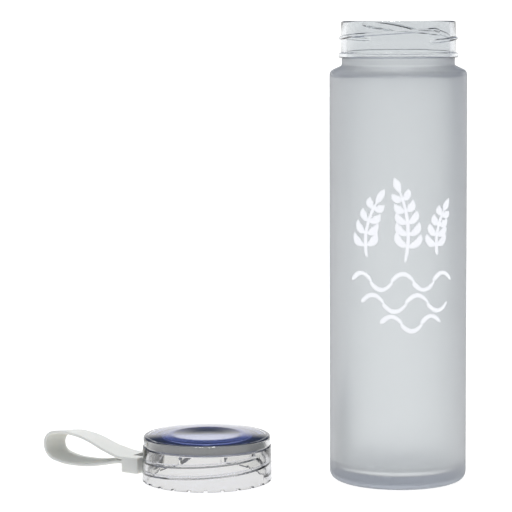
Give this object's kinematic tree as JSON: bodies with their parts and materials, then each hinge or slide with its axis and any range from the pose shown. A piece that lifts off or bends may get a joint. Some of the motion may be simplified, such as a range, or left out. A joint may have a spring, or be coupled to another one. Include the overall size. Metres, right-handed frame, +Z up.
{
  "type": "frosted water bottle with screw cap",
  "caption": "Tall round frosted drinking bottle with a clear threaded neck, its clear screw cap standing beside it, and a white silicone carrying strap hinged on the cap.",
  "frame": {"origin": "centre of the flat face under the bottle, on the surface that bottle and cap stand on", "axes": "+Z up along the bottle's axis; the cap stands towards -X, with its strap out to the left and back"},
  "size_m": [0.2064, 0.0868, 0.2182],
  "materials": {
    "frosted_bottle": "satin frosted outside with a faint cool blue tint, clear above the neck bead, white hand-brushed motif",
    "clear_cap": "clear, polished moulding",
    "tinted_crown": "clear with a blue tint that deepens at the thick edge, polished",
    "seal_silicone": "milky translucent silicone",
    "pin_plastic": "smooth",
    "strap_silicone": "matt white silicone"
  },
  "bodies": {
    "bottle": {"bottle_body": "frosted_bottle"},
    "seal": {"seal_ring": "seal_silicone"},
    "cap": {"cap_skirt": "clear_cap", "cap_crown": "tinted_crown", "lug_pin": "pin_plastic"},
    "strap": {"strap_head": "strap_silicone", "strap_loop": "strap_silicone"}
  },
  "joints": [
    {"name": "cap_rise", "type": "slide", "parent": "bottle", "child": "seal", "axis": [0, 0, 1], "range_m": [0, 0.0053]},
    {"name": "cap_turn", "type": "hinge", "parent": "seal", "child": "cap", "pos_m": [-0.0914, -0.0023, 0.01], "axis": [0, 0, 1], "range_deg": [0, 180]},
    {"name": "strap_swing", "type": "hinge", "parent": "cap", "child": "strap", "pos_m": [-0.12295, 0.01741, 0.0038], "axis": [0.5299, 0.848, 0], "range_deg": [0, 85]}
  ],
  "couplings": [
    {"joint": "cap_rise", "follows": "cap_turn", "m_per_rad": 0.001687}
  ]
}
